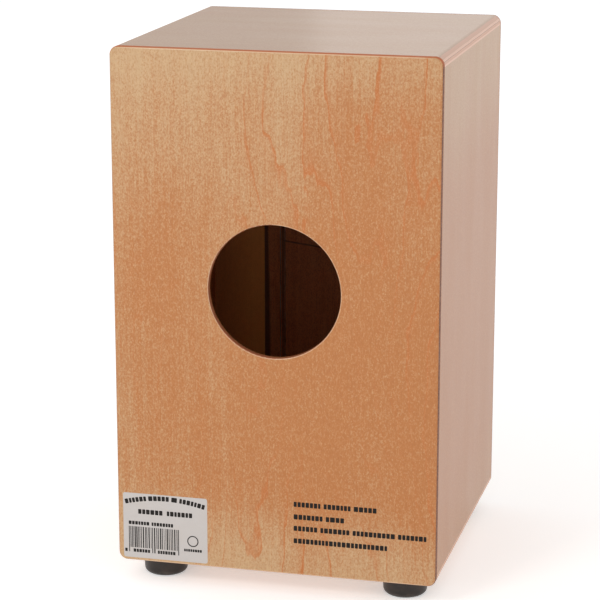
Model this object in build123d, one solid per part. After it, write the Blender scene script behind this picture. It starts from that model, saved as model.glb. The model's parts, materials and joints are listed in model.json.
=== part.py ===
from build123d import *
import os

# A plywood box drum (cajon) with snare strings, in millimetres.
# +Z is up. The origin is on the floor, under the middle of the box.
# The playing surface (the tapa) faces -Y and the sound hole faces +Y.
# Left and right are those of someone who stands in front of the playing
# surface and looks at it, so left is -X.

# Whole drum
WIDTH = 300.0
DEPTH = 300.0
BODY_HEIGHT = 480.0
FOOT_HEIGHT = 20.0

# Panels
SHELL_THICKNESS = 12.0  # top and bottom panels
SIDE_THICKNESS = 9.0
REAR_THICKNESS = 6.0
TAPA_THICKNESS = 3.0
RABBET_DEPTH = 3.0  # how far the sides run up into the top and bottom panels
CORNER_RADIUS = 8.0
REAR_EDGE_RADIUS = 2.0
TAPA_EDGE_RADIUS = 1.0
BATTEN_LEG = 20.0

# Sound hole
HOLE_RADIUS = 61.0
HOLE_LIP_RADIUS = 1.2
HOLE_ABOVE_BODY_BOTTOM = 265.0

# Feet
FOOT_INSET = 35.0
FOOT_TOP_RADIUS = 21.0
FOOT_BOTTOM_RADIUS = 20.0
FOOT_EDGE_RADIUS = 5.0
FOOT_RECESS_RADIUS = 7.0
FOOT_RECESS_DEPTH = 11.0

# Screws, washers and their holes
FIT_GAP = 0.05  # radial room round a fastener in its hole
SCREW_POINT_RADIUS = 0.3
TAPA_SCREW_RADIUS = 1.5
TAPA_SCREW_HEAD_RADIUS = 2.9
TAPA_SCREW_HEAD_HEIGHT = 1.7
TAPA_SCREW_LENGTH = 18.0
TAPA_SCREW_TIP = 3.0
TAPA_SCREW_CROSS = (1.6, 1.0, 0.6)  # reach, depth and width of the driver recess
TAPA_SCREW_ROW_REACH = 132.0  # from the middle to the last screw of a row
TAPA_SCREW_COLUMN_REACH = 200.0
FOOT_SCREW_RADIUS = 2.0
FOOT_SCREW_HEAD_RADIUS = 4.0
FOOT_SCREW_HEAD_HEIGHT = 2.6
FOOT_SCREW_BITE = 9.0  # length in the bottom panel
FOOT_PILOT_DEPTH = 10.0
WASHER_RADIUS = 6.0
WASHER_THICKNESS = 1.2

# Snare strings, a pair on each side
STRING_PAIR_X = 69.0
STRING_SPACING = 5.0
STRING_RADIUS = 0.35
STRING_BEHIND_TAPA = 1.8  # from the tapa's inner face to a string's middle
STRING_HOLE_RADIUS = 0.4
STRING_SLOT_WIDTH = 1.0
STRING_END = 0.5  # how far a string stands out of its end fittings

# Fixed upper end of the strings
ANCHOR_BAR_HALF_WIDTH = 95.0
ANCHOR_BAR_HEIGHT = 26.0
ANCHOR_BAR_DEPTH = 22.0
ANCHOR_BAR_BEHIND_TAPA = 4.0
BAR_CHAMFER = 1.5
ANCHOR_PLATE_WIDTH = 34.0
ANCHOR_PLATE_DEPTH = 23.4
ANCHOR_PLATE_THICKNESS = 2.0
ANCHOR_PLATE_BEHIND_TAPA = 0.6
ANCHOR_PLATE_CORNER = 1.5
ANCHOR_SCREW_RADIUS = 1.75
ANCHOR_SCREW_HEAD_RADIUS = 3.4
ANCHOR_SCREW_HEAD_HEIGHT = 2.2
ANCHOR_SCREW_LENGTH = 14.0
ANCHOR_SCREW_SPACING = 22.0
ANCHOR_SCREW_BEHIND_TAPA = 15.0
BALL_END_RADIUS = 1.5
BALL_END_HEIGHT = 3.0

# Adjustable lower end of the strings
TUNING_BAR_HALF_WIDTH = 95.0
TUNING_BAR_HEIGHT = 34.0
TUNING_BAR_DEPTH = 27.0
TUNING_BAR_BEHIND_TAPA = 2.0
CARRIER_WIDTH = 19.0
CARRIER_DEPTH = 15.2
CARRIER_HEIGHT = 10.0
CARRIER_BEHIND_TAPA = 0.8
CARRIER_ABOVE_PANEL = 18.0
CARRIER_CHAMFER = 0.5
POCKET_CLEARANCE = 0.5
FERRULE_RADIUS = 1.4
FERRULE_HEIGHT = 4.0

# Tension screws: M5 hex socket cap screws, threaded through the carriers
TENSION_SCREW_RADIUS = 2.5
TENSION_SCREW_BEHIND_TAPA = 9.5
TENSION_SCREW_HEAD_RADIUS = 4.25
TENSION_SCREW_HEAD_HEIGHT = 5.0
TENSION_SCREW_LENGTH = 38.0
TENSION_RECESS_RADIUS = 6.5
TENSION_RECESS_DEPTH = 7.0
TENSION_HOLE_RADIUS = 2.8
TENSION_WASHER_RADIUS = 6.0
TENSION_WASHER_THICKNESS = 1.0
HEX_KEY = 4.0  # across flats
HEX_DEPTH = 2.6
TENSION_HEAD_CHAMFER = 0.4
TENSION_END_CHAMFER = 0.6

# Paper label on the rear panel
LABEL_WIDTH = 81.0
LABEL_HEIGHT = 63.0
LABEL_THICKNESS = 0.1
LABEL_FROM_SIDE = 5.0
LABEL_FROM_BOTTOM = 3.0
LABEL_CORNER_RADIUS = 2.0

# Levels and planes that follow from the driving dimensions
BODY_BOTTOM = FOOT_HEIGHT
BODY_TOP = FOOT_HEIGHT + BODY_HEIGHT
BODY_MIDDLE = (BODY_BOTTOM + BODY_TOP) / 2
FLOOR_TOP = BODY_BOTTOM + SHELL_THICKNESS  # inner face of the bottom panel
CEILING = BODY_TOP - SHELL_THICKNESS  # inner face of the top panel
HALF_WIDTH = WIDTH / 2
INNER_X = HALF_WIDTH - SIDE_THICKNESS
FRONT = -DEPTH / 2
REAR = DEPTH / 2
TAPA_INNER = FRONT + TAPA_THICKNESS
REAR_INNER = REAR - REAR_THICKNESS
FOOT_X = HALF_WIDTH - FOOT_INSET
FOOT_Y = REAR - FOOT_INSET
STRING_Y = TAPA_INNER + STRING_BEHIND_TAPA
ANCHOR_BAR_BOTTOM = CEILING - ANCHOR_BAR_HEIGHT
ANCHOR_PLATE_BOTTOM = ANCHOR_BAR_BOTTOM - ANCHOR_PLATE_THICKNESS
CARRIER_BOTTOM = FLOOR_TOP + CARRIER_ABOVE_PANEL
TENSION_SCREW_Y = TAPA_INNER + TENSION_SCREW_BEHIND_TAPA
TENSION_HEAD_TOP = BODY_BOTTOM + TENSION_RECESS_DEPTH - TENSION_WASHER_THICKNESS
SIDES = {"left": -1, "right": 1}


def block(x, y, z):
    """A box from three (low, high) pairs."""
    spans = (x, y, z)
    size = [high - low for low, high in spans]
    middle = [(low + high) / 2 for low, high in spans]
    return Pos(*middle) * Box(*size)


def rod(x, y, z, radius):
    """An upright cylinder whose ends are the (low, high) pair z."""
    low, high = z
    return Pos(x, y, (low + high) / 2) * Cylinder(radius, high - low)


def ring(x, y, z, radius, hole_radius):
    """An upright tube or washer."""
    return rod(x, y, z, radius) - rod(x, y, z, hole_radius)


def evenly(reach, count):
    """Evenly spaced places from -reach to reach."""
    return [reach * (2 * i / (count - 1) - 1) for i in range(count)]


def foot_places():
    """The four (x, y) places of the feet."""
    return [(x, y) for x in (-FOOT_X, FOOT_X) for y in (-FOOT_Y, FOOT_Y)]


def string_places(side):
    """The x of each string of one pair, the inner string first."""
    middle = side * STRING_PAIR_X
    half = side * STRING_SPACING / 2
    return [middle - half, middle + half]


def standing_plate(y_low, thickness):
    """A plate with rounded corners that closes one end of the box."""
    plate = extrude(RectangleRounded(WIDTH, BODY_HEIGHT, CORNER_RADIUS), thickness)
    return Pos(0, y_low + thickness, BODY_MIDDLE) * Rot(90, 0, 0) * plate


def rear_panel():
    """The panel with the sound hole, with softened edges."""
    panel = standing_plate(REAR_INNER, REAR_THICKNESS)
    edge = panel.faces().sort_by(Axis.Y)[-1].outer_wire().edges()
    panel = fillet(edge, REAR_EDGE_RADIUS)
    height = BODY_BOTTOM + HOLE_ABOVE_BODY_BOTTOM
    bore = Cylinder(HOLE_RADIUS, 2 * REAR_THICKNESS)
    panel -= Pos(0, REAR_INNER, height) * Rot(90, 0, 0) * bore
    lip = panel.edges().filter_by(GeomType.CIRCLE).filter_by(
        lambda e: abs(e.radius - HOLE_RADIUS) < 0.01
    )
    return fillet(lip.sort_by(Axis.Y)[-1:], HOLE_LIP_RADIUS)


def tapa_screw_places():
    """The (x, z) places of the screws round the edge of the tapa."""
    top_z = CEILING + SHELL_THICKNESS / 2
    bottom_z = BODY_BOTTOM + SHELL_THICKNESS / 2
    column_x = HALF_WIDTH - SIDE_THICKNESS / 2
    places = [(x, top_z) for x in evenly(TAPA_SCREW_ROW_REACH, 5)]
    places += [(x, bottom_z) for x in evenly(TAPA_SCREW_ROW_REACH, 4)]
    for side in SIDES.values():
        heights = evenly(TAPA_SCREW_COLUMN_REACH, 5)
        places += [(side * column_x, BODY_MIDDLE + height) for height in heights]
    return places


def tapa_screw_shape(gap):
    """A countersunk screw along -Z with its head's face at z = 0."""
    head = Pos(0, 0, -TAPA_SCREW_HEAD_HEIGHT / 2) * Cone(
        TAPA_SCREW_RADIUS + gap, TAPA_SCREW_HEAD_RADIUS + gap, TAPA_SCREW_HEAD_HEIGHT
    )
    straight = TAPA_SCREW_LENGTH - TAPA_SCREW_TIP
    shank = rod(0, 0, (-straight, 0), TAPA_SCREW_RADIUS + gap)
    tip = Pos(0, 0, -straight - TAPA_SCREW_TIP / 2) * Cone(
        SCREW_POINT_RADIUS + gap, TAPA_SCREW_RADIUS + gap, TAPA_SCREW_TIP
    )
    return head + shank + tip


def cross_recess(radius, depth, width):
    """A cross-shaped driver recess, cut down from z = 0."""
    arm = Pos(0, 0, -depth / 2) * Box(2 * radius, width, depth)
    return arm + Rot(0, 0, 90) * arm


def at_tapa(place, shape):
    """The shape turned so that its +Z end faces out of the tapa at (x, z)."""
    x, z = place
    return Pos(x, FRONT, z) * Rot(90, 0, 0) * shape


def tapa_screw_holes():
    """Countersunk holes and pilots for all the tapa screws."""
    hole = tapa_screw_shape(FIT_GAP)
    return [at_tapa(place, hole) for place in tapa_screw_places()]


def front_tapa():
    """The thin playing surface, screwed round its edge."""
    panel = standing_plate(FRONT, TAPA_THICKNESS)
    edge = panel.faces().sort_by(Axis.Y)[0].outer_wire().edges()
    return fillet(edge, TAPA_EDGE_RADIUS) - tapa_screw_holes()


def tapa_screws():
    """All the countersunk wood screws that hold the tapa."""
    screw = tapa_screw_shape(0) - cross_recess(*TAPA_SCREW_CROSS)
    return Compound([at_tapa(place, screw) for place in tapa_screw_places()])


def lapped_panel():
    """A level panel, top side up, lapped over the ends of both side panels."""
    panel = block(
        (-HALF_WIDTH, HALF_WIDTH), (TAPA_INNER, REAR_INNER), (-SHELL_THICKNESS, 0)
    )
    for side in SIDES.values():
        x = sorted((side * INNER_X, side * HALF_WIDTH))
        z = (-SHELL_THICKNESS, RABBET_DEPTH - SHELL_THICKNESS)
        panel -= block(x, (TAPA_INNER, REAR_INNER), z)
    long_edges = panel.edges().filter_by(Axis.Y).group_by(Axis.Z)[-1]
    return fillet(long_edges, CORNER_RADIUS)


def top_panel():
    """The seat, with rounded long edges."""
    return Pos(0, 0, BODY_TOP) * lapped_panel() - tapa_screw_holes()


def bottom_panel():
    """The bottom, bored for the feet and for the tension screws."""
    turned = Pos(0, TAPA_INNER + REAR_INNER, BODY_BOTTOM) * Rot(180, 0, 0)
    panel = turned * lapped_panel() - tapa_screw_holes()
    for x, y in foot_places():
        pilot = (BODY_BOTTOM, BODY_BOTTOM + FOOT_PILOT_DEPTH)
        panel -= rod(x, y, pilot, FOOT_SCREW_RADIUS + FIT_GAP)
    for side in SIDES.values():
        x = side * STRING_PAIR_X
        recess = (BODY_BOTTOM, BODY_BOTTOM + TENSION_RECESS_DEPTH)
        panel -= rod(x, TENSION_SCREW_Y, recess, TENSION_RECESS_RADIUS)
        panel -= rod(x, TENSION_SCREW_Y, (BODY_BOTTOM, FLOOR_TOP), TENSION_HOLE_RADIUS)
    return panel


def side_panel(side):
    """One side, let into the rabbets of the top and bottom panels."""
    x = sorted((side * INNER_X, side * HALF_WIDTH))
    z = (FLOOR_TOP - RABBET_DEPTH, CEILING + RABBET_DEPTH)
    return block(x, (TAPA_INNER, REAR_INNER), z) - tapa_screw_holes()


def corner_batten(side, level):
    """A triangular glue strip where a side meets the top (1) or bottom (-1)."""
    z = CEILING if level > 0 else FLOOR_TOP
    corner = (side * INNER_X, z)
    along_panel = (side * (INNER_X - BATTEN_LEG), z)
    down_side = (side * INNER_X, z - level * BATTEN_LEG)
    section = make_face(Polyline(corner, along_panel, down_side, close=True))
    start = TAPA_INNER + TUNING_BAR_BEHIND_TAPA
    batten = extrude(section, REAR_INNER - start)
    return Pos(0, REAR_INNER, 0) * Rot(90, 0, 0) * batten


def foot(x, y):
    """A round tapered rubber foot with a recess for its screw."""
    body = Pos(x, y, FOOT_HEIGHT / 2) * Cone(FOOT_BOTTOM_RADIUS, FOOT_TOP_RADIUS, FOOT_HEIGHT)
    body = fillet(body.edges().sort_by(Axis.Z)[0], FOOT_EDGE_RADIUS)
    body -= rod(x, y, (0, FOOT_RECESS_DEPTH), FOOT_RECESS_RADIUS)
    return body - rod(x, y, (0, FOOT_HEIGHT), FOOT_SCREW_RADIUS + 2 * FIT_GAP)


def foot_washers():
    """A steel washer at the top of each foot's recess."""
    z = (FOOT_RECESS_DEPTH - WASHER_THICKNESS, FOOT_RECESS_DEPTH)
    hole = FOOT_SCREW_RADIUS + 2 * FIT_GAP
    return Compound([ring(x, y, z, WASHER_RADIUS, hole) for x, y in foot_places()])


def pan_head_screw(radius, length, head_radius, head_height):
    """A pan head screw along +Z, with the underside of its head at z = 0."""
    head = rod(0, 0, (-head_height, 0), head_radius)
    head = fillet(head.edges().sort_by(Axis.Z)[0], 0.4 * head_height)
    tip = 2 * radius
    shank = rod(0, 0, (0, length - tip), radius)
    point = Pos(0, 0, length - tip / 2) * Cone(radius, SCREW_POINT_RADIUS, tip)
    recess = Pos(0, 0, -head_height) * Rot(180, 0, 0) * cross_recess(
        0.55 * head_radius, 0.5 * head_height, 0.3 * radius
    )
    return head + shank + point - recess


def foot_screws():
    """The wood screws that hold the feet."""
    head_under = FOOT_RECESS_DEPTH - WASHER_THICKNESS
    length = BODY_BOTTOM + FOOT_SCREW_BITE - head_under
    screw = pan_head_screw(
        FOOT_SCREW_RADIUS, length, FOOT_SCREW_HEAD_RADIUS, FOOT_SCREW_HEAD_HEIGHT
    )
    return Compound([Pos(x, y, head_under) * screw for x, y in foot_places()])


def anchor_screw_places(side):
    """The (x, y) places of the two screws of one anchor plate."""
    y = TAPA_INNER + ANCHOR_SCREW_BEHIND_TAPA
    half = ANCHOR_SCREW_SPACING / 2
    return [(side * STRING_PAIR_X + dx, y) for dx in (-half, half)]


def string_anchor_bar():
    """The wooden bar under the seat that carries the anchor plates."""
    front = TAPA_INNER + ANCHOR_BAR_BEHIND_TAPA
    bar = block(
        (-ANCHOR_BAR_HALF_WIDTH, ANCHOR_BAR_HALF_WIDTH),
        (front, front + ANCHOR_BAR_DEPTH),
        (ANCHOR_BAR_BOTTOM, CEILING),
    )
    bar = chamfer(bar.faces().sort_by(Axis.Z)[0].edges(), BAR_CHAMFER)
    z = (ANCHOR_BAR_BOTTOM, ANCHOR_BAR_BOTTOM + ANCHOR_SCREW_LENGTH)
    for side in SIDES.values():
        for x, y in anchor_screw_places(side):
            bar -= rod(x, y, z, ANCHOR_SCREW_RADIUS + FIT_GAP)
    return bar


def string_slots(side, front, z):
    """Slots, open to the front, that take the strings of one pair."""
    slots = []
    for x in string_places(side):
        half = STRING_SLOT_WIDTH / 2
        slots.append(block((x - half, x + half), (front - 1, STRING_Y), z))
        slots.append(rod(x, STRING_Y, z, half))
    return slots


def string_anchor_plate(side):
    """The slotted steel plate that holds one pair's ball ends."""
    front = TAPA_INNER + ANCHOR_PLATE_BEHIND_TAPA
    half = ANCHOR_PLATE_WIDTH / 2
    middle = side * STRING_PAIR_X
    z = (ANCHOR_PLATE_BOTTOM, ANCHOR_BAR_BOTTOM)
    plate = block((middle - half, middle + half), (front, front + ANCHOR_PLATE_DEPTH), z)
    plate = fillet(plate.edges().filter_by(Axis.Z), ANCHOR_PLATE_CORNER)
    plate -= string_slots(side, front, z)
    for x, y in anchor_screw_places(side):
        plate -= rod(x, y, z, ANCHOR_SCREW_RADIUS + 2 * FIT_GAP)
    return plate


def anchor_plate_screws():
    """The wood screws that hold both anchor plates."""
    screw = pan_head_screw(
        ANCHOR_SCREW_RADIUS, ANCHOR_SCREW_LENGTH, ANCHOR_SCREW_HEAD_RADIUS, ANCHOR_SCREW_HEAD_HEIGHT
    )
    places = [place for side in SIDES.values() for place in anchor_screw_places(side)]
    return Compound([Pos(x, y, ANCHOR_PLATE_BOTTOM) * screw for x, y in places])


def string_ball_ends():
    """The brass barrels on the upper ends of all the strings."""
    z = (ANCHOR_BAR_BOTTOM, ANCHOR_BAR_BOTTOM + BALL_END_HEIGHT)
    places = [x for side in SIDES.values() for x in string_places(side)]
    return Compound([ring(x, STRING_Y, z, BALL_END_RADIUS, STRING_HOLE_RADIUS) for x in places])


def snare_string(x):
    """One wire, from its crimped ferrule up to its ball end."""
    low = CARRIER_BOTTOM - FERRULE_HEIGHT - STRING_END
    high = ANCHOR_BAR_BOTTOM + BALL_END_HEIGHT + STRING_END
    return rod(x, STRING_Y, (low, high), STRING_RADIUS)


def string_tuning_bar():
    """The wooden bar on the bottom panel, with a pocket for each carrier."""
    front = TAPA_INNER + TUNING_BAR_BEHIND_TAPA
    z = (FLOOR_TOP, FLOOR_TOP + TUNING_BAR_HEIGHT)
    bar = block(
        (-TUNING_BAR_HALF_WIDTH, TUNING_BAR_HALF_WIDTH), (front, front + TUNING_BAR_DEPTH), z
    )
    bar = chamfer(bar.faces().sort_by(Axis.Z)[-1].edges(), BAR_CHAMFER)
    half = CARRIER_WIDTH / 2 + POCKET_CLEARANCE
    back = TAPA_INNER + CARRIER_BEHIND_TAPA + CARRIER_DEPTH + POCKET_CLEARANCE
    for side in SIDES.values():
        middle = side * STRING_PAIR_X
        bar -= block((middle - half, middle + half), (front, back), z)
    return bar


def string_carrier(side):
    """The threaded block that pulls one pair of strings down."""
    middle = side * STRING_PAIR_X
    half = CARRIER_WIDTH / 2
    front = TAPA_INNER + CARRIER_BEHIND_TAPA
    z = (CARRIER_BOTTOM, CARRIER_BOTTOM + CARRIER_HEIGHT)
    carrier = block((middle - half, middle + half), (front, front + CARRIER_DEPTH), z)
    carrier = chamfer(carrier.edges().filter_by(Axis.Z), CARRIER_CHAMFER)
    carrier -= rod(middle, TENSION_SCREW_Y, z, TENSION_SCREW_RADIUS + FIT_GAP)
    return carrier - string_slots(side, front, z)


def string_ferrules(side):
    """The crimped ferrules on the lower ends of one pair of strings."""
    z = (CARRIER_BOTTOM - FERRULE_HEIGHT, CARRIER_BOTTOM)
    tubes = [
        ring(x, STRING_Y, z, FERRULE_RADIUS, STRING_HOLE_RADIUS) for x in string_places(side)
    ]
    return Compound(tubes)


def tension_screw(side):
    """A hex socket cap screw, with its head in the bottom panel's recess."""
    x = side * STRING_PAIR_X
    head_bottom = TENSION_HEAD_TOP - TENSION_SCREW_HEAD_HEIGHT
    head = rod(x, TENSION_SCREW_Y, (head_bottom, TENSION_HEAD_TOP), TENSION_SCREW_HEAD_RADIUS)
    head = chamfer(head.edges().sort_by(Axis.Z)[0], TENSION_HEAD_CHAMFER)
    end = TENSION_HEAD_TOP + TENSION_SCREW_LENGTH
    shank = rod(x, TENSION_SCREW_Y, (TENSION_HEAD_TOP, end), TENSION_SCREW_RADIUS)
    shank = chamfer(shank.edges().sort_by(Axis.Z)[-1], TENSION_END_CHAMFER)
    socket = extrude(RegularPolygon(HEX_KEY / 2, 6, major_radius=False), HEX_DEPTH)
    return head + shank - Pos(x, TENSION_SCREW_Y, head_bottom) * socket


def tension_screw_washers():
    """A washer over the head of each tension screw."""
    z = (TENSION_HEAD_TOP, TENSION_HEAD_TOP + TENSION_WASHER_THICKNESS)
    hole = TENSION_SCREW_RADIUS + 3 * FIT_GAP
    places = [side * STRING_PAIR_X for side in SIDES.values()]
    return Compound([ring(x, TENSION_SCREW_Y, z, TENSION_WASHER_RADIUS, hole) for x in places])


def product_label():
    """A thin paper label near the lower corner of the rear panel."""
    sheet = extrude(
        RectangleRounded(LABEL_WIDTH, LABEL_HEIGHT, LABEL_CORNER_RADIUS), LABEL_THICKNESS
    )
    x = HALF_WIDTH - LABEL_FROM_SIDE - LABEL_WIDTH / 2
    z = BODY_BOTTOM + LABEL_FROM_BOTTOM + LABEL_HEIGHT / 2
    return Pos(x, REAR + LABEL_THICKNESS, z) * Rot(90, 0, 0) * sheet


def all_nodes():
    """Every node's name and shape."""
    nodes = {
        "top_panel": top_panel(),
        "bottom_panel": bottom_panel(),
        "rear_panel": rear_panel(),
        "front_tapa": front_tapa(),
        "tapa_screws": tapa_screws(),
        "foot_washers": foot_washers(),
        "foot_screws": foot_screws(),
        "string_anchor_bar": string_anchor_bar(),
        "anchor_plate_screws": anchor_plate_screws(),
        "string_ball_ends": string_ball_ends(),
        "string_tuning_bar": string_tuning_bar(),
        "tension_screw_washers": tension_screw_washers(),
        "product_label": product_label(),
    }
    for name, side in SIDES.items():
        nodes[f"{name}_side_panel"] = side_panel(side)
        nodes[f"corner_batten_top_{name}"] = corner_batten(side, 1)
        nodes[f"corner_batten_bottom_{name}"] = corner_batten(side, -1)
        nodes[f"foot_front_{name}"] = foot(side * FOOT_X, -FOOT_Y)
        nodes[f"foot_rear_{name}"] = foot(side * FOOT_X, FOOT_Y)
        nodes[f"string_anchor_plate_{name}"] = string_anchor_plate(side)
        nodes[f"string_carrier_{name}"] = string_carrier(side)
        nodes[f"string_ferrules_{name}"] = string_ferrules(side)
        nodes[f"tension_screw_{name}"] = tension_screw(side)
        for place, x in zip(("inner", "outer"), string_places(side)):
            nodes[f"snare_string_{name}_{place}"] = snare_string(x)
    return nodes


os.makedirs("parts", exist_ok=True)
for node, shape in all_nodes().items():
    export_step(shape, f"parts/{node}.step")
    print(node)
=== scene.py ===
import json
import math
import random

import bmesh
import bpy
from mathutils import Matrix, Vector


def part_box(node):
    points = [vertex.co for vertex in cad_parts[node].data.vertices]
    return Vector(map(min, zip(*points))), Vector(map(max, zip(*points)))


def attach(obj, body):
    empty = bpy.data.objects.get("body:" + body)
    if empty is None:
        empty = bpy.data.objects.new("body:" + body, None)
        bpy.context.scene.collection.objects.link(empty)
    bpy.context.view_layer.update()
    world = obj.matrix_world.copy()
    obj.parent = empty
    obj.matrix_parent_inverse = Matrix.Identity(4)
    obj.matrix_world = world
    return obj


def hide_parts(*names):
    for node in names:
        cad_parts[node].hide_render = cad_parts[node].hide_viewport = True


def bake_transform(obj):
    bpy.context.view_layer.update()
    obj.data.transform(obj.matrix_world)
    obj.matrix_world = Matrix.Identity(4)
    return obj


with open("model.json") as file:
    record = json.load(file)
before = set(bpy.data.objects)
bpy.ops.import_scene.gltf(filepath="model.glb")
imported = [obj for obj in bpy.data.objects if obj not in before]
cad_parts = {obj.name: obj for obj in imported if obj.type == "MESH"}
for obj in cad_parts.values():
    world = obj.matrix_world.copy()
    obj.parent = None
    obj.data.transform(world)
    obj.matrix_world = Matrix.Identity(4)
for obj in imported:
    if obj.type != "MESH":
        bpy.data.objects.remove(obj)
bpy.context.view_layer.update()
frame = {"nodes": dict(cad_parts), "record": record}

MM = 0.001
X_AXIS, Y_AXIS, Z_AXIS = 0, 1, 2
SIDES = ("left", "right")


# ---------------------------------------------------------------- node graphs


class Graph:
    """One material's node tree. Most calls add a node and return its output.

    Places are in millimetres in the row frame.
    """

    def __init__(self, name):
        self.material = bpy.data.materials.new(name)
        self.material.use_nodes = True
        self.nodes = self.material.node_tree.nodes
        self.links = self.material.node_tree.links
        self.shader = self.nodes["Principled BSDF"]
        metres = self.nodes.new("ShaderNodeTexCoord").outputs["Object"]
        self.place = self.vector("MULTIPLY", metres, (1 / MM,) * 3)
        split = self.nodes.new("ShaderNodeSeparateXYZ")
        self.feed(split.inputs[0], self.place)
        self.axis = list(split.outputs)

    def feed(self, socket, value):
        if isinstance(value, bpy.types.NodeSocket):
            self.links.new(value, socket)
        else:
            socket.default_value = value

    def vector(self, operation, a, b):
        node = self.nodes.new("ShaderNodeVectorMath")
        node.operation = operation
        self.feed(node.inputs[0], a)
        self.feed(node.inputs[1], b)
        return node.outputs[0]

    def math(self, operation, a, b=0.0):
        node = self.nodes.new("ShaderNodeMath")
        node.operation = operation
        self.feed(node.inputs[0], a)
        self.feed(node.inputs[1], b)
        return node.outputs[0]

    def total(self, *values):
        result = values[0]
        for value in values[1:]:
            result = self.math("ADD", result, value)
        return result

    def product(self, *values):
        result = values[0]
        for value in values[1:]:
            result = self.math("MULTIPLY", result, value)
        return result

    def fade(self, value, start, end, low=0.0, high=1.0):
        """A smooth change from low to high as value goes from start to end."""
        node = self.nodes.new("ShaderNodeMapRange")
        node.interpolation_type = "SMOOTHSTEP"
        if start > end:
            start, end, low, high = end, start, high, low
        settings = (start, end, low, high)
        self.feed(node.inputs[0], value)
        for socket, setting in zip(node.inputs[1:5], settings):
            self.feed(socket, setting)
        return node.outputs[0]

    def mix(self, factor, a, b):
        """A colour from a, where factor is 0, to b, where it is 1."""
        node = self.nodes.new("ShaderNodeMix")
        node.data_type = "RGBA"
        self.feed(node.inputs[0], factor)
        self.feed(node.inputs[6], rgba(a))
        self.feed(node.inputs[7], rgba(b))
        return node.outputs[2]

    def noise(self, size, seed=0.0, detail=2.0, roughness=0.5, distortion=0.0):
        """Noise from 0 to 1 whose features have this (x, y, z) size."""
        place = self.vector("DIVIDE", self.place, size)
        shifted = self.vector("ADD", place, (seed, 0.37 * seed, 1.71 * seed))
        node = self.nodes.new("ShaderNodeTexNoise")
        self.feed(node.inputs["Vector"], shifted)
        self.feed(node.inputs["Scale"], 1.0)
        self.feed(node.inputs["Detail"], detail)
        self.feed(node.inputs["Roughness"], roughness)
        self.feed(node.inputs["Distortion"], distortion)
        return node.outputs["Fac"]

    def cells(self, size, seed=0.0):
        """Distance from the nearest of a field of scattered points."""
        place = self.vector("DIVIDE", self.place, size)
        shifted = self.vector("ADD", place, (seed, seed, seed))
        node = self.nodes.new("ShaderNodeTexVoronoi")
        self.feed(node.inputs["Vector"], shifted)
        self.feed(node.inputs["Scale"], 1.0)
        return node.outputs["Distance"]

    def bump(self, height, depth, strength):
        """The shader's normal from a height of 0 to 1 that stands for depth mm."""
        node = self.nodes.new("ShaderNodeBump")
        self.feed(node.inputs["Strength"], strength)
        self.feed(node.inputs["Distance"], depth * MM)
        self.feed(node.inputs["Height"], height)
        self.feed(self.shader.inputs["Normal"], node.outputs[0])

    def finish(self, **settings):
        """Sets the shader's sockets, named with _ for a space, and gives the material."""
        for name, value in settings.items():
            value = rgba(value) if isinstance(value, tuple) else value
            self.feed(self.shader.inputs[name.replace("_", " ")], value)
        return self.material


def rgba(value):
    """A colour with its alpha. Anything else comes back as it is."""
    if isinstance(value, tuple) and len(value) == 3:
        return (*value, 1.0)
    return value


def shade(colour, factor):
    """The colour, darker or lighter by a factor."""
    return tuple(channel * factor for channel in colour)


# ------------------------------------------------------------------ materials

# Colours are linear.
# Pale birch, lighter in green and blue as painted sheen
BIRCH_PALE_AND_SHEEN = (0.455, 0.288, 0.142)
BIRCH_WARM = (0.384, 0.128, 0.019)
BIRCH_LINE = (0.410, 0.115, 0.010)
# Pale rubbed veneer, which on the rear panel is a painted highlight
BIRCH_WEAR_AND_HIGHLIGHT = (0.720, 0.510, 0.340)
INNER_PALE = (0.760, 0.320, 0.100)
INNER_WARM = (0.420, 0.130, 0.040)
PLY_LIGHT = (0.720, 0.420, 0.290)
PLY_DARK = (0.610, 0.320, 0.205)
GLUE_LINE = (0.150, 0.065, 0.040)
# Dark stained ply edge, made darker still as painted shade in the joint with the sides
EDGE_STAIN_AND_SHADE = (0.120, 0.045, 0.024)
# Ply edge painted as lit, for the rear panel's top edge and hole rim
EDGE_PAINTED_LIT = (0.540, 0.150, 0.050)
TAPA_RED = (0.400, 0.110, 0.055)
TAPA_GOLD = (0.960, 0.460, 0.110)
TAPA_AMBER = (0.500, 0.170, 0.050)
TAPA_SHADOW = (0.030, 0.012, 0.008)
TIMBER_PALE = (0.560, 0.370, 0.190)
TIMBER_RING = (0.380, 0.200, 0.080)
INK = (0.008, 0.006, 0.005)
PAPER = (0.470, 0.440, 0.425)
PAPER_AGED = (0.455, 0.415, 0.385)
RUBBER_COLOURS = ((0.010, 0.006, 0.004), (0.026, 0.016, 0.011), (0.120, 0.105, 0.090))
ZINC_COLOURS = ((0.60, 0.62, 0.66), (0.70, 0.66, 0.55), (0.42, 0.43, 0.45))
BLACK_STEEL_COLOURS = ((0.050, 0.048, 0.052), (0.240, 0.235, 0.230))
BRASS_COLOURS = ((0.74, 0.50, 0.20), (0.42, 0.25, 0.09))
STRING_COLOURS = ((0.44, 0.42, 0.38), (0.17, 0.15, 0.13), (0.08, 0.07, 0.06))

HOLE_Z = 285.0  # height of the sound hole's middle
FACE_VENEER = 0.6  # thickness
GLUE = 0.26  # thickness of a glue line
DARK_JOINTS = (2, 4)  # the joints between plies that show a dark glue line
LACQUER_WEIGHT = 0.42
SIDE_LACQUER_WEIGHT = 0.34
LACQUER = {"Coat_Roughness": 0.20, "Coat_IOR": 1.5}


def along_grain(grain, across, along):
    """A noise size with the long way on the grain's axis."""
    size = [across] * 3
    size[grain] = along
    return tuple(size)


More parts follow.
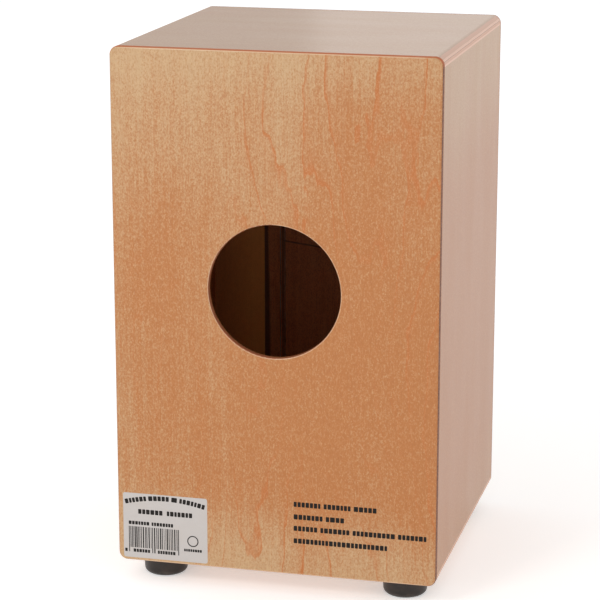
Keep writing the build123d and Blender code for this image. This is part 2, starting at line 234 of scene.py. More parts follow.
def veneer(g, grain, seed, pale, warm, line, figure, drift_and_painted_light, contrast, streak_width=5.0):
    """Colour, and fibre height from 0 to 1, of a rotary-cut veneer.

    The tone goes from pale, which is 0, to warm, which is 1, and drift_and_painted_light
    shifts it, which on the rear and the sides paints sheen and light as paler tone.
    contrast is how much the tone varies about its middle, and figure is how
    strongly the growth rings show.
    """
    cloud = g.noise(along_grain(grain, 70, 260), seed, 2)
    streak = g.noise(along_grain(grain, streak_width, 420), seed + 3, 3, 0.6)
    fibre = g.noise(along_grain(grain, 1.1, 48), seed + 5, 3, 0.65)
    mottle = g.noise(along_grain(grain, 1.25, 1.8), seed + 7, 3, 0.7)
    waves = ((cloud, 0.90), (streak, 0.60), (fibre, 0.70), (mottle, 1.30))
    middle = sum(weight for _, weight in waves) / 2
    varied = g.total(*(g.product(wave, weight) for wave, weight in waves), -middle)
    tone = g.total(g.product(varied, contrast), 0.5, drift_and_painted_light)
    colour = g.mix(g.fade(tone, 0.0, 1.0), pale, warm)

    # Growth rings cut at a shallow angle: contours of a slow, long field,
    # each with a sharp edge on one side that fades on the other.
    field = g.noise(along_grain(grain, 105, 560), seed + 11, 1.6, 0.40, 0.35)
    wobble = g.noise(along_grain(grain, 11, 42), seed + 13, 2, 0.5)
    rings = 17.0
    level = g.total(g.product(field, rings), g.product(wobble, 0.75))
    ring = g.math("FRACT", level)
    glow = g.fade(ring, 0.30, 0.95, 0.0, 0.16)
    thin = g.fade(ring, 0.85, 0.96, 0.0, 0.92)
    fall = g.fade(ring, 1.0, 0.97)
    patch = g.noise(along_grain(grain, 60, 170), seed + 17, 2)
    shown = g.fade(patch, 0.36, 0.66, 0.12, 1.0)
    strength = g.product(g.total(glow, thin), fall, shown, figure)
    colour = g.mix(strength, colour, line)

    # Short flecks, then speckle
    fleck = g.noise(along_grain(grain, 0.8, 4.5), seed + 19, 1)
    dark_fleck = g.fade(fleck, 0.60, 0.74, 0.0, 0.22)
    bright_fleck = g.fade(fleck, 0.38, 0.26, 0.0, 0.22)
    dark_speck = g.fade(mottle, 0.48, 0.72, 0.0, 0.36)
    bright_speck = g.fade(mottle, 0.52, 0.28, 0.0, 0.34)
    colour = g.mix(dark_fleck, colour, shade(line, 0.6))
    colour = g.mix(bright_fleck, colour, shade(pale, 1.35))
    colour = g.mix(dark_speck, colour, shade(warm, 0.80))
    colour = g.mix(bright_speck, colour, shade(pale, 1.20))
    height = g.total(g.product(fibre, 0.7), g.product(fleck, 0.3))
    return colour, height


def plies(g, depth, layers, seed):
    """Colour of a plywood edge from its layers' (start depth, colour)."""
    speck = g.noise((0.8, 0.8, 0.8), seed, 3, 0.7)
    run = g.noise((35, 35, 1.2), seed + 2, 2)
    colour = layers[0][1]
    sway, blur = 0.12, 0.07
    wave = g.fade(g.noise((30, 30, 30), seed + 4, 1), 0.3, 0.7, -sway, sway)
    bent = g.math("ADD", depth, wave)
    for start, layer in layers[1:]:
        colour = g.mix(g.fade(bent, start - blur, start + blur), colour, layer)
    dust = g.total(g.product(speck, 0.6), g.product(run, 0.4))
    return g.mix(g.fade(dust, 0.35, 0.7, 0.0, 0.35), colour, PLY_DARK)


def ply_stack(thickness, count):
    """Layers of alternating grain: two face veneers and count plies between."""
    layers = [(0.0, PLY_LIGHT)]
    core = (thickness - 2 * FACE_VENEER) / count
    for i in range(count + 1):
        start = FACE_VENEER + i * core
        wood = PLY_DARK if i % 2 == 0 and i < count else PLY_LIGHT
        line = GLUE_LINE if i in DARK_JOINTS else shade(PLY_DARK, 0.85)
        layers += [(start - GLUE / 2, line), (start + GLUE / 2, wood)]
    return layers


def depth_from(g, axis, outer, side):
    """Millimetres into the panel from its outer face, which looks to side."""
    offset = g.math("SUBTRACT", g.axis[axis], outer)
    return g.math("MULTIPLY", offset, -side)


def panel_wood(name, grain, normal, outer, side, thickness, layers, seed, figure=1.0,
               contrast=1.0, streak_width=5.0, worn=0.0, lacquered=LACQUER_WEIGHT,
               edge_lacquer=1.0, varies=None, stain=None, back=None):
    """Lacquered plywood: face veneer, plies at the edges, bare inner veneer.

    outer is where the outer face lies on the normal's axis, and side is the way it
    looks. worn is how far the veneer is rubbed pale at its edges, and on the rear panel
    that pale band is a painted highlight. lacquered is the lacquer's weight, and
    edge_lacquer the share of it on the plies. varies gives figure,
    drift_and_painted_light and worn that change over the face, in place of even ones.
    stain colours the plies, and on the rear panel it paints the top edge and the hole's
    rim as lit. back marks the inner veneer.
    """
    g = Graph(name)
    figure, drift_and_painted_light, worn = varies(g) if varies else (figure, 0.0, worn)
    face, height = veneer(g, grain, seed, BIRCH_PALE_AND_SHEEN, BIRCH_WARM, BIRCH_LINE, figure,
                          drift_and_painted_light, contrast, streak_width)
    inner, _ = veneer(g, grain, seed + 40, INNER_PALE, INNER_WARM, INNER_WARM,
                      figure=0.5, drift_and_painted_light=0.0, contrast=1.4)
    if back:
        inner = back(g, inner)
    depth = depth_from(g, normal, outer, side)
    edge = plies(g, depth, layers, seed + 30)
    # On the rear panel this paints light on the top edge and the hole's rim
    if stain:
        edge = stain(g, edge)
    # Pale band where the face meets its edge: wear, and on the rear panel a painted
    # highlight
    rubbed = g.product(g.fade(depth, 0.02, 0.18), g.fade(height, 0.2, 0.7, 0.7, 1.0))
    face = g.mix(g.product(rubbed, worn), face, BIRCH_WEAR_AND_HIGHLIGHT)
    below_face = g.fade(depth, FACE_VENEER - 0.12, FACE_VENEER + 0.05)
    colour = g.mix(below_face, face, edge)
    back_joint = thickness - FACE_VENEER
    colour = g.mix(g.fade(depth, back_joint, back_joint + 0.1), colour, inner)
    g.bump(height, 0.035, 0.6)
    gloss = g.noise(along_grain(grain, 40, 160), seed + 50, 2)
    rough = g.total(g.fade(gloss, 0.3, 0.7, 0.395, 0.425), g.product(height, 0.08),
                    g.product(below_face, 0.25))
    lacquer = g.fade(below_face, 0.0, 1.0, lacquered, edge_lacquer * lacquered)
    return g.finish(Base_Color=colour, Roughness=rough, Coat_Weight=lacquer, **LACQUER)


def rear_tone_and_painted_light(g):
    """Figure, drift and worn of the rear veneer.

    It is palest high on the +X side, as painted sheen, and along its bottom, as painted
    light from the floor. Its growth rings show most on the -X side. Its worn band, a
    painted highlight on the edge's roundover, runs along the level edges and the hole's
    rim but not the upright edges.
    """
    x, z = g.axis[X_AXIS], g.axis[Z_AXIS]
    # Painted light: paler high on +X as painted sheen, paler along the bottom as painted
    # light from the floor
    drift_and_painted_light = g.total(g.fade(x, 140, -140, 0.0, 0.32), g.fade(z, 470, 250, -0.12, 0.22),
                    g.fade(z, 500, 440, -0.28, 0.0), g.fade(z, 110, 25, 0.0, -0.60))
    # Painted highlight: the pale worn band on the edge roundover, kept off the upright
    # edges
    worn = g.fade(g.math("ABSOLUTE", x), 146, 125, 0.0, 0.6)
    return g.fade(x, 110, -30, 0.35, 1.0), drift_and_painted_light, worn


def side_tone_and_painted_sheen(g):
    """Figure, drift and worn of a side's veneer, warmest at half height."""
    z = g.axis[Z_AXIS]
    # Painted sheen: paler towards the top and the bottom, warmest at half height
    drift_and_painted_light = g.total(g.fade(z, 490, 300, -0.05, 0.55), g.fade(z, 150, 25, 0.0, -0.35))
    return 0.2, drift_and_painted_light, 0.0


def rear_edge_painted_light(g, edge):
    """The rear panel's dark edge turns a warm brown along its top and its hole."""
    x, z = g.axis[X_AXIS], g.axis[Z_AXIS]
    above = g.math("SUBTRACT", z, HOLE_Z)
    reach = g.math("SQRT", g.total(g.product(x, x), g.product(above, above)))
    # Painted light: the top edge and the hole's rim are painted lighter and warmer, as
    # lit, while the upright edges stay dark
    warm = g.total(g.fade(z, 489, 497, 0.0, 0.9), g.fade(reach, 68, 64, 0.0, 0.55))
    return g.mix(warm, edge, EDGE_PAINTED_LIT)


def tapa_back(g, inner):
    """Inner veneer of the tapa: three strips, their two splices and a crack."""
    x, z = g.axis[X_AXIS], g.axis[Z_AXIS]

    # A golden strip beside reddish ones
    open_x, closed_x = 88.5, 70.0
    golden = g.mix(g.fade(x, open_x, open_x + 55, 0.0, 0.8), TAPA_GOLD, TAPA_AMBER)
    beside = g.fade(x, open_x - 0.3, open_x + 0.3)
    red = g.mix(0.45, inner, TAPA_RED)
    colour = g.mix(beside, red, g.mix(0.7, inner, golden))

    # The opened splice is narrow above and wide below, its gap painted dark as shade
    narrow, wide, narrow_z, wide_z = 1.6, 7.0, 420, 130
    width = g.fade(z, narrow_z, wide_z, narrow, wide)
    into = g.math("SUBTRACT", open_x, x)
    inside = g.math("DIVIDE", into, width)
    gap = g.product(g.fade(inside, -0.1, 0.1), g.fade(inside, 1.1, 0.6))
    colour = g.mix(g.product(gap, 0.8), colour, TAPA_SHADOW)

    # The other splice is a thin line that wanders
    sway = g.noise((400, 400, 60), 71.0, 1)
    from_splice = g.total(x, g.product(sway, 2.0), -closed_x)
    line = g.fade(g.math("ABSOLUTE", from_splice), 2.6, 0.6)
    colour = g.mix(g.product(line, 0.6), colour, TAPA_SHADOW)

    # A crack that climbs towards the splices, painted dark as shade in it
    slope, crack_z, near_x, far_x = 0.125, 255.0, 22.0, closed_x
    from_crack = g.total(z, g.product(x, -slope), -crack_z)
    crack = g.product(g.fade(g.math("ABSOLUTE", from_crack), 1.3, 0.3),
                      g.fade(x, far_x, far_x - 4.0), g.fade(x, near_x, near_x + 8.0))
    return g.mix(g.product(crack, 0.7), colour, TAPA_SHADOW)


def softwood(name, grain, seed):
    """Planed pine for battens and bars: growth rings along the grain."""
    g = Graph(name)
    field = g.noise(along_grain(grain, 34, 600), seed, 1.5, 0.4)
    bend = g.noise(along_grain(grain, 9, 120), seed + 2, 2)
    ring = g.math("FRACT", g.total(g.product(field, 14.0), g.product(bend, 0.4)))
    late = g.product(g.fade(ring, 0.3, 0.9), g.fade(ring, 1.0, 0.95))
    fibre = g.noise(along_grain(grain, 0.6, 30), seed + 4, 3, 0.65)
    colour = g.mix(g.product(late, 0.7), TIMBER_PALE, TIMBER_RING)
    colour = g.mix(g.fade(fibre, 0.45, 0.8, 0.0, 0.35), colour, TIMBER_RING)
    g.bump(g.total(g.product(fibre, 0.7), g.product(late, 0.3)), 0.08, 0.7)
    return g.finish(Base_Color=colour, Roughness=g.fade(fibre, 0.3, 0.7, 0.62, 0.78))


def rubber():
    """Moulded black rubber: fine grain, a parting line, dust near the floor."""
    g = Graph("foot_rubber")
    grain = g.noise((0.5, 0.5, 0.5), 1.0, 3, 0.7)
    patch = g.noise((14, 14, 9), 4.0, 3, 0.6)
    z, seam_z = g.axis[Z_AXIS], 13.2
    black, dull_black, dust_grey = RUBBER_COLOURS
    dust = g.product(g.fade(z, 7.0, 0.5), g.fade(patch, 0.35, 0.75, 0.0, 0.5))
    colour = g.mix(g.fade(patch, 0.3, 0.75), black, dull_black)
    colour = g.mix(dust, colour, dust_grey)
    seam = g.fade(g.math("ABSOLUTE", g.math("SUBTRACT", z, seam_z)), 0.5, 0.1)
    g.bump(g.total(g.product(grain, 0.7), g.product(seam, 0.5)), 0.10, 0.7)
    rough = g.total(g.fade(patch, 0.3, 0.7, 0.32, 0.44), g.product(dust, 0.4))
    return g.finish(Base_Color=colour, Roughness=rough, Specular_IOR_Level=0.45)


def zinc():
    """Bright zinc plate: small crystals, faint straw and blue passivation."""
    g = Graph("zinc_steel")
    crystal = g.cells((1.3, 1.3, 1.3), 2.0)
    cloud = g.noise((9, 9, 9), 5.0, 3, 0.6)
    scratch = g.noise((0.25, 6, 6), 7.0, 2)
    blue, straw, grey = ZINC_COLOURS
    colour = g.mix(g.fade(cloud, 0.3, 0.7), blue, straw)
    colour = g.mix(g.fade(crystal, 0.2, 0.8, 0.0, 0.25), colour, grey)
    rough = g.total(g.fade(crystal, 0.1, 0.9, 0.24, 0.40), g.product(scratch, 0.08))
    g.bump(g.total(g.product(crystal, 0.6), g.product(scratch, 0.4)), 0.02, 0.6)
    return g.finish(Base_Color=colour, Roughness=rough, Metallic=1.0)


def black_oxide():
    """Black oxide on machined steel, with grey rubbed patches and oil film."""
    g = Graph("black_steel")
    cloud = g.noise((3.5, 3.5, 3.5), 1.0, 4, 0.65)
    turned = g.noise((6, 6, 0.12), 3.0, 2)
    worn = g.fade(cloud, 0.55, 0.72)
    colour = g.mix(g.product(worn, 0.6), *BLACK_STEEL_COLOURS)
    rough = g.total(g.fade(cloud, 0.3, 0.7, 0.42, 0.26), g.product(turned, 0.08))
    g.bump(turned, 0.015, 0.5)
    return g.finish(Base_Color=colour, Roughness=rough, Metallic=0.9)


def brass():
    """Turned brass: fine rings from the tool and a light brown tarnish."""
    g = Graph("turned_brass")
    tarnish = g.noise((2.2, 2.2, 2.2), 1.0, 4, 0.6)
    turned = g.noise((8, 8, 0.10), 3.0, 2)
    colour = g.mix(g.fade(tarnish, 0.4, 0.7), *BRASS_COLOURS)
    rough = g.total(g.fade(tarnish, 0.3, 0.7, 0.20, 0.38), g.product(turned, 0.08))
    g.bump(turned, 0.02, 0.5)
    return g.finish(Base_Color=colour, Roughness=rough, Metallic=1.0)


def string_wire():
    """Nickel wound wire: darker in the grooves and dulled in patches."""
    g = Graph("string_steel")
    age = g.noise((4, 4, 22), 2.0, 3, 0.6)
    groove = g.noise((3, 3, 0.16), 4.0, 1)
    bright, dulled, dirt = STRING_COLOURS
    colour = g.mix(g.fade(age, 0.35, 0.7), bright, dulled)
    colour = g.mix(g.fade(groove, 0.5, 0.7, 0.0, 0.4), colour, dirt)
    rough = g.fade(age, 0.3, 0.7, 0.30, 0.50)
    g.bump(groove, 0.03, 0.7)
    return g.finish(Base_Color=colour, Roughness=rough, Metallic=1.0)


def paper():
    """Coated label paper: faint fibres, slightly yellowed in patches."""
    g = Graph("label_paper")
    fibre = g.noise((0.7, 0.7, 0.7), 1.0, 4, 0.7)
    cloud = g.noise((22, 22, 22), 3.0, 3)
    colour = g.mix(g.fade(fibre, 0.3, 0.75, 0.0, 0.5), PAPER, shade(PAPER, 0.90))
    colour = g.mix(g.fade(cloud, 0.4, 0.75, 0.0, 0.5), colour, PAPER_AGED)
    g.bump(fibre, 0.02, 0.5)
    rough = g.fade(cloud, 0.3, 0.7, 0.42, 0.55)
    return g.finish(Base_Color=colour, Roughness=rough, Coat_Weight=0.15,
                    Coat_Roughness=0.3)


def ink(name, fade_colour, cover):
    """Printed ink with the paper or wood showing faintly through pinholes."""
    g = Graph(name)
    speck = g.noise((0.35, 0.35, 0.35), 1.0, 3, 0.7)
    cloud = g.noise((6, 6, 6), 3.0, 2)
    thin = g.total(g.product(speck, 0.7), g.product(cloud, 0.3))
    colour = g.mix(g.fade(thin, cover, 0.85), INK, fade_colour)
    return g.finish(Base_Color=colour, Roughness=g.fade(cloud, 0.3, 0.7, 0.4, 0.55),
                    Specular_IOR_Level=0.2)


def floor_paint():
    """A plain pale studio sweep with very slight cloudiness."""
    g = Graph("floor_paint")
    cloud = g.noise((900, 900, 900), 1.0, 2)
    colour = g.mix(cloud, (0.90, 0.90, 0.90), (0.93, 0.93, 0.93))
    g.finish(Base_Color=colour, Roughness=0.9, Specular_IOR_Level=0.1,
             Emission_Color=(1.0, 1.0, 1.0), Emission_Strength=0.42)

    # Seen from below, the floor is clear, so that the underside shows.
    from_below = g.nodes.new("ShaderNodeNewGeometry").outputs["Backfacing"]
    clear = g.nodes.new("ShaderNodeBsdfTransparent")
    either = g.nodes.new("ShaderNodeMixShader")
    g.links.new(from_below, either.inputs[0])
    g.links.new(g.shader.outputs[0], either.inputs[1])
    g.links.new(clear.outputs[0], either.inputs[2])
    g.links.new(either.outputs[0], g.nodes["Material Output"].inputs["Surface"])
    return g.material


def corner(node, axis, high):
    """One side of a CAD node's box, in millimetres."""
    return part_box(node)[1 if high else 0][axis] / MM


def make_materials():
    """The material of each CAD node, and the shared ones by their slots."""
    top, bottom = corner("top_panel", Z_AXIS, True), corner("bottom_panel", Z_AXIS, False)
    rear, front = corner("rear_panel", Y_AXIS, True), corner("front_tapa", Y_AXIS, False)
    left = corner("left_side_panel", X_AXIS, False)
    right = corner("right_side_panel", X_AXIS, True)
    shell = top - corner("top_panel", Z_AXIS, False)
    wall = right - corner("right_side_panel", X_AXIS, False)
    back = rear - corner("rear_panel", Y_AXIS, False)
    skin = corner("front_tapa", Y_AXIS, True) - front
    # Ply edges dark with stain and with painted shade in the joints
    stained_and_shaded = [(0.0, PLY_LIGHT), (FACE_VENEER - 0.1, EDGE_STAIN_AND_SHADE),
               (back * 0.38, shade(EDGE_STAIN_AND_SHADE, 1.5)), (back * 0.62, EDGE_STAIN_AND_SHADE)]
    seat_plies, wall_plies = ply_stack(shell, 5), ply_stack(wall, 5)
    made = {
        "top_panel": panel_wood("seat_birch", X_AXIS, Z_AXIS, top, 1, shell,
                                seat_plies, seed=4.0, figure=0.15, contrast=0.22,
                                streak_width=16.0),
        "bottom_panel": panel_wood("base_birch", X_AXIS, Z_AXIS, bottom, -1, shell,
                                   seat_plies, seed=9.0, figure=0.5),
        "left_side_panel": panel_wood("left_birch", Z_AXIS, X_AXIS, left, -1, wall,
                                      wall_plies, seed=14.0, contrast=0.35,
                                      streak_width=14.0, lacquered=SIDE_LACQUER_WEIGHT,
                                      varies=side_tone_and_painted_sheen),
        "right_side_panel": panel_wood("right_birch", Z_AXIS, X_AXIS, right, 1, wall,
                                       wall_plies, seed=19.0, contrast=0.50,
                                       streak_width=10.0, lacquered=SIDE_LACQUER_WEIGHT,
                                       varies=side_tone_and_painted_sheen),
        "rear_panel": panel_wood("rear_birch", Z_AXIS, Y_AXIS, rear, 1, back,
                                 stained_and_shaded, seed=24.0, edge_lacquer=0.0,
                                 varies=rear_tone_and_painted_light, stain=rear_edge_painted_light),
        "front_tapa": panel_wood("tapa_birch", Z_AXIS, Y_AXIS, front, -1, skin,
                                 stained_and_shaded[:2], seed=31.0, worn=0.3, edge_lacquer=0.0,
                                 back=tapa_back),
    }
    bar = softwood("bar_timber", X_AXIS, 2.0)
    batten = softwood("batten_timber", Y_AXIS, 8.0)
    by_slot = {
        "zinc_steel": zinc(), "black_steel": black_oxide(), "turned_brass": brass(),
        "string_steel": string_wire(), "foot_rubber": rubber(), "label_paper": paper(),
    }
    for part in frame["record"]["subparts"]:
        node, slot = part["node"], part["material_slot"]
        if node not in made:
            timber = batten if "batten" in node else bar
            made[node] = by_slot.get(slot, timber)
    return made, by_slot


materials, slot_materials = make_materials()
for node, cad_object in frame["nodes"].items():
    for material_slot in cad_object.material_slots:
        material_slot.material = materials[node]


# ------------------------------------------------------------- mesh-coded pieces


def new_piece(name, build, material, body, smooth=False):
    """An object from a function that fills a bmesh, riding on a body if one is given."""
    mesh = bpy.data.meshes.new(name)
    bm = bmesh.new()
    build(bm)
    bmesh.ops.recalc_face_normals(bm, faces=bm.faces)
    for face in bm.faces:
        face.smooth = smooth
    bm.to_mesh(mesh)
    bm.free()
    piece = bpy.data.objects.new(name, mesh)
    bpy.context.scene.collection.objects.link(piece)
    mesh.materials.append(material)
    if body:
        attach(piece, body)
    return piece


def skin_rings(bm, rings):
    """Joins rings of points into a tube with closed ends."""
    rows = [[bm.verts.new(point) for point in ring] for ring in rings]
    count = len(rows[0])
    for low, high in zip(rows, rows[1:]):
        for i in range(count):
            j = (i + 1) % count
            bm.faces.new((low[i], low[j], high[j], high[i]))
    bm.faces.new(rows[0][::-1])
    bm.faces.new(rows[-1])


def circle(x, y, z, radius_at, sides):
    """A level ring of points whose radius is a function of its angle."""
    turn = 2 * math.pi / sides
    return [
        Vector((
            x + radius_at(i * turn) * math.cos(i * turn),
            y + radius_at(i * turn) * math.sin(i * turn),
            z,
        )) * MM
        for i in range(sides)
    ]


# Snare strings: wound wire with a plain twist below the ball end.
WIRE_RADIUS = 0.35
WIRE_GROOVE = 0.06
WIRE_PITCH = 0.9
WIRE_SIDES = 8
TWIST_LENGTH = 9.0
TWIST_RADIUS = 0.12


def wound_string(node):
    """A function that builds this CAD node's string, and the string's two ends."""
    low, high = (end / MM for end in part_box(node))
    x, y = (low.x + high.x) / 2, (low.y + high.y) / 2
    twist_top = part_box("string_anchor_plate_left")[0].z / MM
    step = WIRE_PITCH / 4
    rows = round((high.z - low.z) / step)

    def radius(z):
        ripple = WIRE_GROOVE * (0.5 - 0.5 * math.cos(2 * math.pi * z / WIRE_PITCH))
        into = (twist_top - z) / TWIST_LENGTH
        twist = TWIST_RADIUS * math.sin(math.pi * into) if 0 < into < 1 else 0.0
        return WIRE_RADIUS - ripple + twist

    def build(bm):
        rings = []
        for i in range(rows + 1):
            z = low.z + (high.z - low.z) * i / rows
            rings.append(circle(x, y, z, lambda angle: radius(z), WIRE_SIDES))
        skin_rings(bm, rings)

    return build, Vector((x, y, low.z)) * MM, Vector((x, y, high.z)) * MM


for side in SIDES:
    for place in ("inner", "outer"):
        node = f"snare_string_{side}_{place}"
        build, foot_end, head_end = wound_string(node)
        wire = new_piece(f"wound_string_{side}_{place}", build,
                         slot_materials["string_steel"], None, True)
        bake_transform(wire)
        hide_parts(node)


# Tension screws: cap screws with a knurled head, a hex socket and an M5 thread.
HEAD_RADIUS = 4.25
HEAD_HEIGHT = 5.0
HEAD_CHAMFER = 0.4
SOCKET_REACH = 4.0 / math.sqrt(3)  # from the middle to a corner of the hexagon
SOCKET_DEPTH = 2.6
SOCKET_CHAMFER = 0.25
THREAD_RADIUS = 2.5
THREAD_DEPTH = 0.45
THREAD_PITCH = 0.8
THREAD_STEPS = 6  # rows of points to a turn
KNURLS = 36
KNURL_DEPTH = 0.14
SCREW_SIDES = 72


def hex_radius(angle):
    """Distance from the middle to a hexagon's side at an angle."""
    sixth = math.pi / 3
    off_middle = angle % sixth - sixth / 2
    return SOCKET_REACH * math.cos(sixth / 2) / math.cos(off_middle)


def cap_screw(node):
    """A function that builds the threaded screw that lies where this node does."""
    low, high = (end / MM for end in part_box(node))
    x, y = (low.x + high.x) / 2, (low.y + high.y) / 2
    head_top = low.z + HEAD_HEIGHT

    def plain(z, radius):
        return circle(x, y, z, lambda angle: radius, SCREW_SIDES)

    def knurled(z):
        def radius(angle):
            return HEAD_RADIUS - KNURL_DEPTH * (0.5 - 0.5 * math.cos(KNURLS * angle))
        return circle(x, y, z, radius, SCREW_SIDES)

    def hexagon(z, widen=0.0):
        return circle(x, y, z, lambda angle: hex_radius(angle) + widen, SCREW_SIDES)

    def threaded(z):
        taper = min(1.0, (z - head_top) / THREAD_PITCH, (high.z - z) / THREAD_PITCH)
        crest = THREAD_RADIUS - 0.5 * THREAD_DEPTH * (1 - taper)

        def radius(angle):
            phase = (z / THREAD_PITCH - angle / (2 * math.pi)) % 1.0
            return crest - taper * THREAD_DEPTH * abs(2 * phase - 1)
        return circle(x, y, z, radius, SCREW_SIDES)

    def build(bm):
        edge = HEAD_RADIUS - HEAD_CHAMFER
        rings = [
            hexagon(low.z + SOCKET_DEPTH), hexagon(low.z + SOCKET_CHAMFER),
            hexagon(low.z, SOCKET_CHAMFER), plain(low.z, edge),
            knurled(low.z + HEAD_CHAMFER), knurled(head_top - HEAD_CHAMFER),
            plain(head_top, edge),
        ]
        rows = round((high.z - head_top) / THREAD_PITCH * THREAD_STEPS)
        rings += [threaded(head_top + (high.z - head_top) * i / rows)
                  for i in range(rows + 1)]
        skin_rings(bm, rings)

    return build


for side in SIDES:
    node = f"tension_screw_{side}"
    screw = new_piece(f"cap_screw_{side}", cap_screw(node),
                      slot_materials["black_steel"], f"screw_{side}")
    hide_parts(node)


# ------------------------------------------------------------------ print and label

INK_THICKNESS = 0.02
LABEL_RADIUS = 2.0  # of the paper's corners
QUARTERS = ((1, 1), (-1, 1), (-1, -1), (1, -1))  # signs at a rectangle's corners, in turn
random_marks = random.Random(5)


def thin_plate(bm, outline, y_low, y_high):
    """A flat plate whose (x, z) outline faces +Y, in millimetres."""
    back = [bm.verts.new(Vector((x, y_low, z)) * MM) for x, z in outline]
    face = [bm.verts.new(Vector((x, y_high, z)) * MM) for x, z in outline]
    bm.faces.new(back)
    bm.faces.new(face[::-1])
    count = len(outline)
    for i in range(count):
        j = (i + 1) % count
        bm.faces.new((back[i], face[i], face[j], back[j]))


def rounded(width, height, radius, steps=3):
    """Outline of a rounded rectangle about (0, 0)."""
    points = []
    for quarter, (sx, sz) in enumerate(QUARTERS):
        cx, cz = sx * (width / 2 - radius), sz * (height / 2 - radius)
        for step in range(steps + 1):
            angle = math.pi / 2 * (quarter + step / steps)
            points.append((cx + radius * math.cos(angle), cz + radius * math.sin(angle)))
    return points


def moved(outline, x, z, turn=0.0):
    """The outline turned about (0, 0) and then moved by (x, z)."""
    c, s = math.cos(turn), math.sin(turn)
    return [(x + px * c - pz * s, z + px * s + pz * c) for px, pz in outline]


def word_marks(length, height):
    """(offset, width) of the letter-size blocks that fill one word's length."""
    letter, gap = 0.80 * height, 0.16 * height
    count = max(1, round(length / letter))
    widths = [random_marks.uniform(0.8, 1.2) for _ in range(count)]
    scale = (length - gap * (count - 1)) / sum(widths)
    at, marks = 0.0, []
    for width in widths:
        marks.append((at + width * scale / 2, width * scale))
        at += width * scale + gap
    return marks


def mark_row(bm, x, z, words, height, gap, y):
    """Words of plain blocks along a line that starts at x and runs to -X."""
    for word in words:
        for offset, width in word_marks(word, height):
            block = rounded(width, height, 0.12 * height, 2)
            thin_plate(bm, moved(block, x - offset, z), y, y + INK_THICKNESS)
        x -= word + gap


def rear_print(bm):
    """Four lines of plain blocks, low on the rear panel."""
    y = corner("rear_panel", Y_AXIS, True)
    start_x, letter, gap = -18.0, 4.8, 3.0
    bottom = corner("rear_panel", Z_AXIS, False)
    lines = {68.0: (25, 25, 21), 56.0: (27, 17), 45.0: (22, 27, 39, 26), 33.0: (87,)}
    for above_bottom, words in lines.items():
        mark_row(bm, start_x, bottom + above_bottom, words, letter, gap, y)


def label_place():
    """The label's (+X edge, top edge, width, height, back, face)."""
    low, high = (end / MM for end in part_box("product_label"))
    return high.x, high.z, high.x - low.x, high.z - low.z, low.y, high.y


def label_sheet(bm):
    """The label's paper, with rounded corners."""
    x, z, width, height, back, face = label_place()
    sheet_shape = rounded(width, height, LABEL_RADIUS, 5)
    outline = moved(sheet_shape, x - width / 2, z - height / 2)
    thin_plate(bm, outline, back, face - INK_THICKNESS)


def label_print(bm):
    """Generic marks: an arched row, two plain rows, bars and a ring."""
    x, z, width, _, _, face = label_place()
    y = face - INK_THICKNESS

    # Arched row across the top
    middle, sag, letter, arch_top = width / 2, 5.7, 4.6, 3.6
    for start, end in ((1.8, 22.3), (24.4, 44.3), (46.7, 52.1), (54.5, 78.6)):
        for offset, size in word_marks(end - start, letter):
            along = start + offset
            lean = (along - middle) / middle
            top = arch_top + sag * lean * lean
            slope = 2 * sag * lean / middle
            block = rounded(size, letter, 0.6, 2)
            place = moved(block, x - along, z - top, math.atan(slope))
            thin_plate(bm, place, y, y + INK_THICKNESS)

    # Bold row, then a small row
    mark_row(bm, x - 14.5, z - 17.6, (23.5, 24.4), 4.6, 4.2, y)
    mark_row(bm, x - 5.1, z - 29.0, (19.9, 20.8), 3.4, 2.3, y)

    # Plain upright bars, with longer ones at the ends and in the middle
    at, bars_end, bars_top, short_bar, tall_bar = 5.1, 53.3, 32.5, 20.6, 25.0
    middle_bar = (at + bars_end) / 2
    guards = (at, middle_bar - 1.0, middle_bar + 1.0, bars_end - 0.8)
    while at < bars_end:
        bar = random_marks.choice((0.5, 0.8, 1.2))
        long_bar = any(abs(at - guard) < 0.9 for guard in guards)
        length = tall_bar if long_bar else short_bar
        block = rounded(bar, length, 0.05, 1)
        place = moved(block, x - at - bar / 2, z - bars_top - length / 2)
        thin_plate(bm, place, y, y + INK_THICKNESS)
        at += bar + random_marks.choice((0.5, 0.7, 1.1))
    digits_z = z - 56.0
    for start, length in ((1.2, 2.4), (9.4, 16.0), (33.0, 17.0)):
        mark_row(bm, x - start, digits_z, (length,), 3.2, 1.0, y)

    # Plain ring with a short dash under it
    ring_x, ring_z, outer, inner, sides = x - 67.0, z - 42.5, 5.4, 4.4, 48
    for i in range(sides):
        a, b = (2 * math.pi * k / sides for k in (i, i + 1))
        segment = [(ring_x + r * math.cos(t), ring_z + r * math.sin(t))
                   for r, t in ((inner, a), (outer, a), (outer, b), (inner, b))]
        thin_plate(bm, segment, y, y + INK_THICKNESS)
    mark_row(bm, x - 58.5, z - 51.5, (17.0,), 2.6, 1.0, y)


wood_ink = ink("wood_ink", shade(BIRCH_WARM, 0.5), 0.62)
paper_ink = ink("paper_ink", shade(PAPER, 0.5), 0.56)
new_piece("rear_print", rear_print, wood_ink, "box")
sheet = new_piece("label_sheet", label_sheet, slot_materials["label_paper"], "box")
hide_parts("product_label")
new_piece("label_print", label_print, paper_ink, "box")


# ------------------------------------------------------------ floor, light, camera

# Places and sizes are in metres from here on.


def make_floor():
    """A wide floor just under the feet."""
    half, level = 20.0, -0.0002
    mesh = bpy.data.meshes.new("studio_floor")
    corners = [(sx * half, sy * half, level) for sx, sy in QUARTERS]
    mesh.from_pydata(corners, [], [(0, 1, 2, 3)])
    floor = bpy.data.objects.new("studio_floor", mesh)
    bpy.context.scene.collection.objects.link(floor)
    mesh.materials.append(floor_paint())


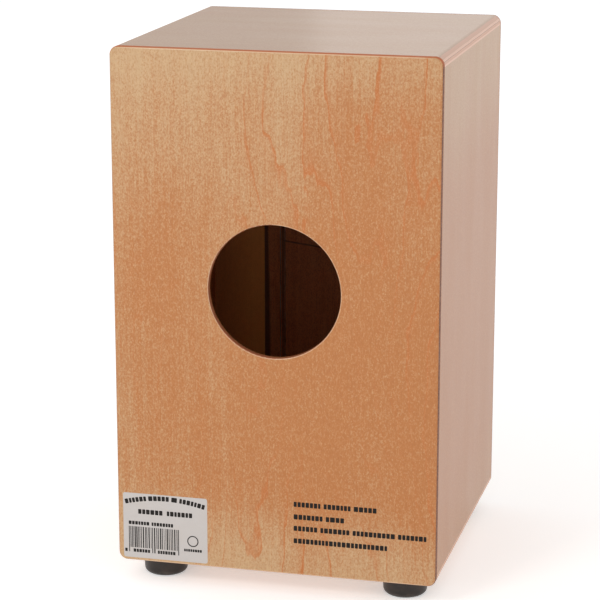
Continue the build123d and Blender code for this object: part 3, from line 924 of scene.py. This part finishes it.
def make_world():
    """A pale studio that is brightest near the horizon."""
    world = bpy.data.worlds.new("studio")
    bpy.context.scene.world = world
    world.use_nodes = True
    tree = world.node_tree
    background = tree.nodes["Background"]
    direction = tree.nodes.new("ShaderNodeTexCoord")
    split = tree.nodes.new("ShaderNodeSeparateXYZ")
    ramp = tree.nodes.new("ShaderNodeMapRange")
    tree.links.new(direction.outputs["Generated"], split.inputs[0])
    tree.links.new(split.outputs[2], ramp.inputs[0])
    at_horizon, at_zenith = 1.0, 0.52
    for socket, value in zip(ramp.inputs[1:5], (0.0, 1.0, at_horizon, at_zenith)):
        socket.default_value = value
    tree.links.new(ramp.outputs[0], background.inputs["Strength"])
    background.inputs["Color"].default_value = (1.0, 0.995, 0.985, 1.0)


def softbox(name, place, target, width, height, power, mirrored=True):
    """An area light that faces a point. mirrored says if glossy things show it."""
    light = bpy.data.lights.new(name, "AREA")
    light.shape = "RECTANGLE"
    light.size = width
    light.size_y = height
    light.energy = power
    light.color = (1.0, 0.985, 0.96)
    lamp = bpy.data.objects.new(name, light)
    bpy.context.scene.collection.objects.link(lamp)
    lamp.location = place
    lamp.visible_camera = False
    lamp.visible_glossy = mirrored
    aim = Vector(target) - Vector(place)
    lamp.rotation_euler = aim.to_track_quat("-Z", "Y").to_euler()


def make_camera():
    """The long lens that looks down at the rear panel from its +Y, -X side."""
    yaw, pitch = math.radians(14.2), math.radians(-14.2)
    view = Vector((
        math.sin(yaw) * math.cos(pitch),
        -math.cos(yaw) * math.cos(pitch),
        math.sin(pitch),
    ))
    data = bpy.data.cameras.new("camera")
    data.sensor_width = 36.0
    data.lens = 138.0
    camera = bpy.data.objects.new("camera", data)
    bpy.context.scene.collection.objects.link(camera)
    camera.location = (-0.509, 2.067, 0.780)
    camera.rotation_euler = view.to_track_quat("-Z", "Y").to_euler()
    bpy.context.scene.camera = camera


make_floor()
make_world()
middle = (0.0, 0.0, 0.25)
softbox("key_light", (1.35, 3.6, 0.70), middle, 1.5, 1.5, 25.0, mirrored=False)
softbox("edge_light", (1.15, 2.2, 1.9), (0.0, 0.15, 0.5), 0.8, 0.8, 16.0)
softbox("back_light", (-0.15, -4.2, 1.10), middle, 2.4, 1.3, 5.0)
make_camera()
bpy.context.scene.view_settings.view_transform = "Standard"
